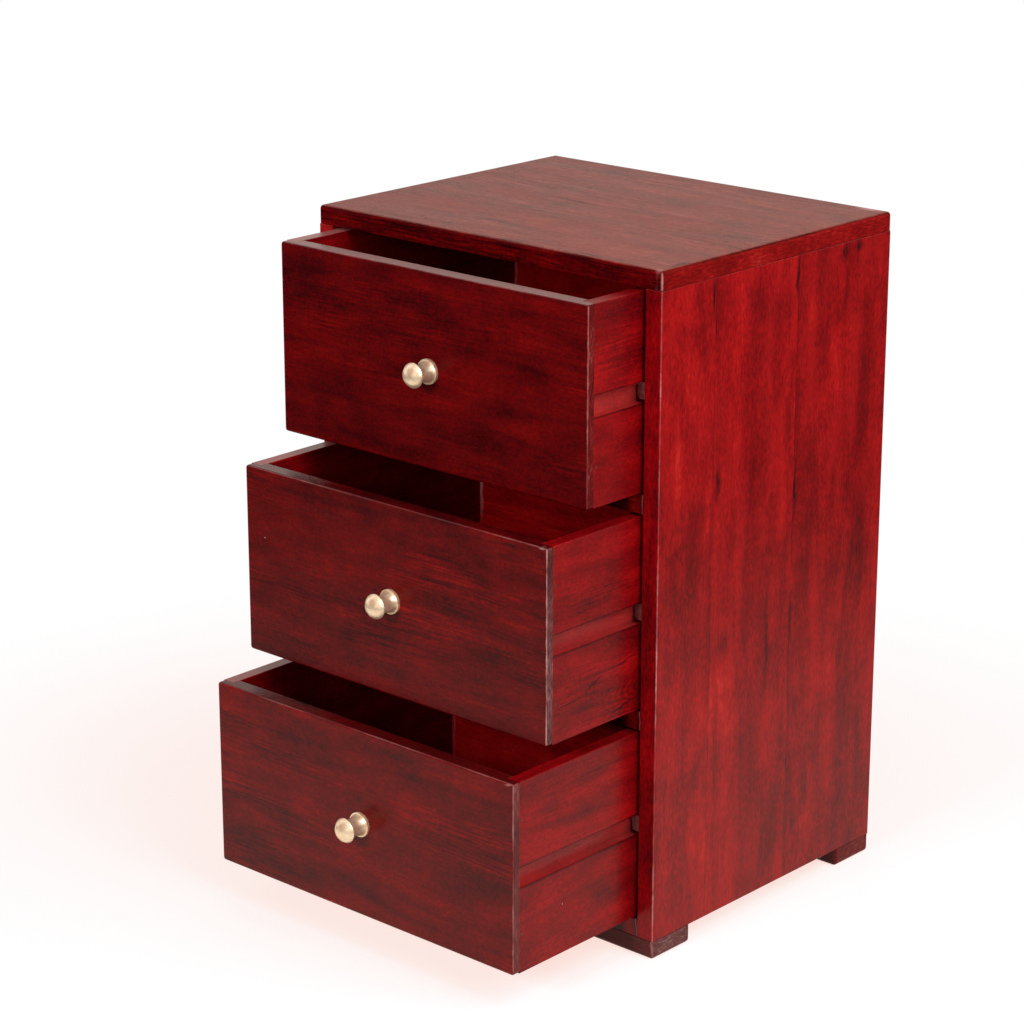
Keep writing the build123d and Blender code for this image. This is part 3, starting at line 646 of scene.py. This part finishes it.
        # Painted sheen or painted shade along the upper edge, as the board is given
        if rim:
            painted_rim_colour, painted_rim_share = rim
            height = graph.split(self.place)["Z"]
            on_top = graph.math("GREATER_THAN", height, self.high.z - PAINTED_RIM_DEPTH)
            share = graph.math("MULTIPLY", graph.math("MULTIPLY", upward, on_top), painted_rim_share)
            base = graph.mix(share, base, colour(painted_rim_colour))
        return base

    def paint(self, marks, chips, worn, grimy, rim, groove):
        """Work out the board's colour, roughness and relief, and join them in its shader."""
        graph = self.graph
        look = self.look
        features = self.features()
        pores = graph.noise(graph.scaled(self.lengthwise, PORE_SIZE), detail=SMOOTH_DETAIL)
        pores = graph.fade(pores, *PORE_SHARES)

        base = self.stained(self.stain_tone(features, marks, groove), pores, rim, groove)
        # Darker along chosen edges
        if grimy:
            base = graph.mix(self.edge_band(grimy), base, colour(DARK_EDGE_AND_PAINTED_SHADE))
        wear = self.edge_band(worn) if worn else ZERO
        for chip in chips:
            wear = graph.math("MULTIPLY_ADD", self.spot(chip), chip.strength, wear)
        base = graph.mix(wear, base, colour(WORN))
        base = graph.mix(self.dust(), base, colour(DUST))

        waves = graph.noise(graph.scaled(self.lengthwise, WAVE_SIZE), detail=SMOOTH_DETAIL)
        relief = graph.math("MULTIPLY", waves, WAVE_RELIEF)
        relief = graph.math("MULTIPLY_ADD", features["streak"], FIBRE_RELIEF, relief)
        relief = graph.math("MULTIPLY_ADD", pores, -PORE_RELIEF, relief)
        roughness = graph.math("MULTIPLY_ADD", features["cloud"], CLOUD_ROUGHNESS_CHANGE, look.roughness)
        roughness = graph.math("MULTIPLY_ADD", wear, WEAR_ROUGHNESS_CHANGE, roughness)
        finish_material(graph, base, roughness, relief, Specular_IOR_Level=look.gloss)


def board(node, grain, look, **extra):
    dress(node, Board(node, grain, look, **extra).material)


def metal(node, tones, roughness, cloud_size, stretch=(WHOLE, WHOLE, WHOLE)):
    """Bright metal with faint clouding and fine lines from the lathe or the die."""
    material, graph = new_material(node)
    place = graph.add("TexCoord").outputs["Object"]
    cloud = graph.even_noise(place, cloud_size, detail=FINE_DETAIL, roughness=METAL_CLOUD_ROUGHNESS)
    stretched = graph.vector("MULTIPLY", place, stretch)
    lines = graph.even_noise(stretched, METAL_LINE_SIZE, detail=SMOOTH_DETAIL)
    base = graph.ramp(cloud, tones)
    change = graph.math("SUBTRACT", cloud, HALF)
    rough = graph.math("MULTIPLY_ADD", change, METAL_ROUGHNESS_CHANGE, roughness)
    relief = graph.math("MULTIPLY", lines, METAL_LINE_RELIEF)
    finish_material(graph, base, rough, relief, Metallic=METAL_SHARE)
    dress(node, material)


def filler(node):
    """Stained filler over the heads of the brads."""
    material, graph = new_material(node)
    place = graph.add("TexCoord").outputs["Object"]
    cloud = graph.even_noise(place, FILLER_CLOUD_SIZE, detail=FINE_DETAIL)
    relief = graph.math("MULTIPLY", cloud, FILLER_RELIEF)
    finish_material(graph, graph.ramp(cloud, FILLER), FILLER_ROUGHNESS, relief)
    dress(node, material)


def dress_case():
    board("right_side_panel", "Z", CASE, seams=SIDE_SEAM_SHARES, marks=SIDE_MARKS, worn=RIGHT_SIDE_WEAR)
    board("left_side_panel", "Z", CASE, seams=SIDE_SEAM_SHARES, worn=LEFT_SIDE_WEAR)
    board("top_panel", "X", TOP, marks=TOP_MARKS, chips=TOP_CHIPS, worn=TOP_WEAR, grimy=TOP_DARK_EDGES,
          edge_scale=TOP_EDGE_SCALE)
    for node in ("bottom_panel", "upper_rail", "lower_rail"):
        board(node, "X", SHADED, marks=JOINT_RED, chips=JOINT_GLUE)
    board("back_panel", "Z", PANEL)
    for side in SIDES:
        board(f"front_{side}_foot", "X", FOOT, chips=FOOT_CHIPS[side])
        board(f"back_{side}_foot", "X", BACK_FOOT)
    board("top_dowels", "Z", BARE)
    board("bottom_dowels", "X", BARE)
    board("rail_dowels", "X", BARE)
    for node in ("runner_screws", "foot_screws", "back_panel_nails"):
        metal(node, STEEL, STEEL_ROUGHNESS, STEEL_CLOUD_SIZE)


def dress_drawer(name, front, front_painted_rim, edge_wear, inner_glue, front_marks=(), side_marks=(), glue=()):
    for side in SIDES:
        board(f"{name}_{side}_runner", "Y", RUNNER)
    # The left sides get painted sheen along their upper edges
    board(f"{name}_drawer_left_side", "Y", DRAWER, rim=LEFT_SIDE_PAINTED_SHEEN, groove=True)
    board(f"{name}_drawer_right_side", "Y", DRAWER, groove=True, marks=side_marks)
    board(f"{name}_drawer_front", "X", front, rim=front_painted_rim, marks=front_marks, chips=glue,
          worn=(("+X-Y", edge_wear), *FRONT_WEAR))
    # The inner back gets painted light: a brighter stain than the sides
    board(f"{name}_drawer_back", "X", INNER_PAINTED_LIGHT, chips=inner_glue)
    board(f"{name}_drawer_bottom", "X", PANEL)
    metal(f"{name}_drawer_knob", BRASS, BRASS_ROUGHNESS, BRASS_CLOUD_SIZE, LATHE_STRETCH)
    metal(f"{name}_drawer_knob_screw", STEEL, STEEL_ROUGHNESS, STEEL_CLOUD_SIZE)
    filler(f"{name}_drawer_brads")


def make_floor():
    """Round white floor. Near the chest it keeps its shadow, and far reflections of it fade."""
    rim = []
    for corner in range(FLOOR_CORNERS):
        angle = TURN * corner / FLOOR_CORNERS
        rim.append((FLOOR_RADIUS * math.cos(angle), FLOOR_RADIUS * math.sin(angle), ZERO))
    mesh = bpy.data.meshes.new("floor")
    mesh.from_pydata(rim, [], [range(FLOOR_CORNERS)])
    floor = bpy.data.objects.new("floor", mesh)
    bpy.context.scene.collection.objects.link(floor)

    material, graph = new_material("floor")
    mesh.materials.append(material)
    away = graph.measure("LENGTH", graph.add("TexCoord").outputs["Object"])
    ray = graph.add("LightPath").outputs
    lit = graph.add("BsdfDiffuse", {"Color": colour(FLOOR_COLOUR)}).outputs[0]
    far_fade = graph.fade(away, *FLOOR_MIRROR_REACH, WHOLE, FLOOR_FAR_LEVEL)
    mirror_inputs = {"Color": colour(FLOOR_MIRROR_COLOUR), "Strength": far_fade}
    mirrored = graph.add("Emission", mirror_inputs).outputs[0]
    shade = graph.add("BsdfDiffuse", {"Color": (*FLOOR_SHADE_SHARES, WHOLE)}).outputs[0]
    rest = (*(WHOLE - FLOOR_LIGHT_SHARE * share for share in FLOOR_SHADE_SHARES), WHOLE)
    glow = graph.add("Emission", {"Color": rest}).outputs[0]
    near = graph.add("AddShader", {0: shade, 1: glow}).outputs[0]
    white = graph.add("Emission").outputs[0]
    seen = graph.blend(graph.fade(away, *FLOOR_SHADOW_REACH), near, white)
    in_gloss = graph.math("MAXIMUM", ray["Is Glossy Ray"], ray["Is Transmission Ray"])
    surface = graph.blend(ray["Is Camera Ray"], graph.blend(in_gloss, lit, mirrored), seen)
    graph.add("OutputMaterial", {"Surface": surface})


def make_room():
    """Room that is white to the eye, pale in reflections but for its dim end, and a soft light."""
    world = bpy.data.worlds.new("room")
    bpy.context.scene.world = world
    world.use_nodes = True
    graph = Graph(world.node_tree)
    ray = graph.add("LightPath").outputs
    way = graph.add("TexCoord").outputs["Generated"]
    toward_dim = graph.measure("DOT_PRODUCT", way, direction(DIM_AZIMUTH, DIM_ELEVATION))
    dim = graph.fade(toward_dim, *DIM_EDGE_SHARES)
    mirrored = graph.mix(dim, colour(MIRROR_COLOUR), colour(DIM_COLOUR))
    in_gloss = graph.math("MAXIMUM", ray["Is Glossy Ray"], ray["Is Transmission Ray"])
    in_full = graph.math("MAXIMUM", in_gloss, ray["Is Camera Ray"])
    level = graph.fade(in_full, ZERO, WHOLE, ROOM_LEVEL, WHOLE)
    tint = graph.mix(in_gloss, (WHOLE,) * 4, mirrored)
    background = graph.add("Background", {"Color": tint, "Strength": level})
    graph.add("OutputWorld", {"Surface": background.outputs[0]})


def aim(thing, place, target):
    """Put a lamp or a camera at a place, turned to its target, into the scene."""
    thing.location = place
    thing.rotation_euler = (target - place).to_track_quat("-Z", "Y").to_euler()
    bpy.context.scene.collection.objects.link(thing)


def make_lamp(name, azimuth, elevation, distance, size, level, mirrored=True):
    lamp = bpy.data.lights.new(name, "AREA")
    lamp.size = size
    lamp.energy = level * (math.pi * distance) ** 2
    holder = bpy.data.objects.new(name, lamp)
    holder.visible_glossy = mirrored
    aim(holder, LIGHT_TARGET + direction(azimuth, elevation) * distance, LIGHT_TARGET)


def make_camera():
    lens = bpy.data.cameras.new("camera")
    lens.lens = CAMERA_LENS
    lens.sensor_width = CAMERA_SENSOR
    camera = bpy.data.objects.new("camera", lens)
    place = CAMERA_TARGET + direction(CAMERA_AZIMUTH, CAMERA_ELEVATION) * CAMERA_DISTANCE
    aim(camera, place, CAMERA_TARGET)
    bpy.context.scene.camera = camera


dress_case()
# Painted sheen on the upper front's top edge, and painted shade on the middle and lower fronts' top edges
dress_drawer("upper", FRONT, UPPER_FRONT_PAINTED_SHEEN, edge_wear=0.42, inner_glue=THIN_GLUE)
dress_drawer("middle", WORN_FRONT, MIDDLE_FRONT_PAINTED_SHADE, edge_wear=0.58, inner_glue=THICK_GLUE,
             front_marks=MIDDLE_FRONT_MARKS, side_marks=CRACKED_SIDE_MARKS, glue=CORNER_GLUE)
dress_drawer("lower", FADED_FRONT, LOWER_FRONT_PAINTED_SHADE, edge_wear=0.35, inner_glue=THIN_GLUE,
             front_marks=LOWER_FRONT_MARKS, glue=CORNER_GLUE)
make_floor()
make_room()
make_lamp("key", KEY_AZIMUTH, KEY_ELEVATION, KEY_DISTANCE, KEY_SIZE, KEY_LEVEL)
make_lamp("fill", FILL_AZIMUTH, FILL_ELEVATION, FILL_DISTANCE, FILL_SIZE, FILL_LEVEL, mirrored=False)
make_camera()
bpy.context.scene.view_settings.view_transform = "Standard"
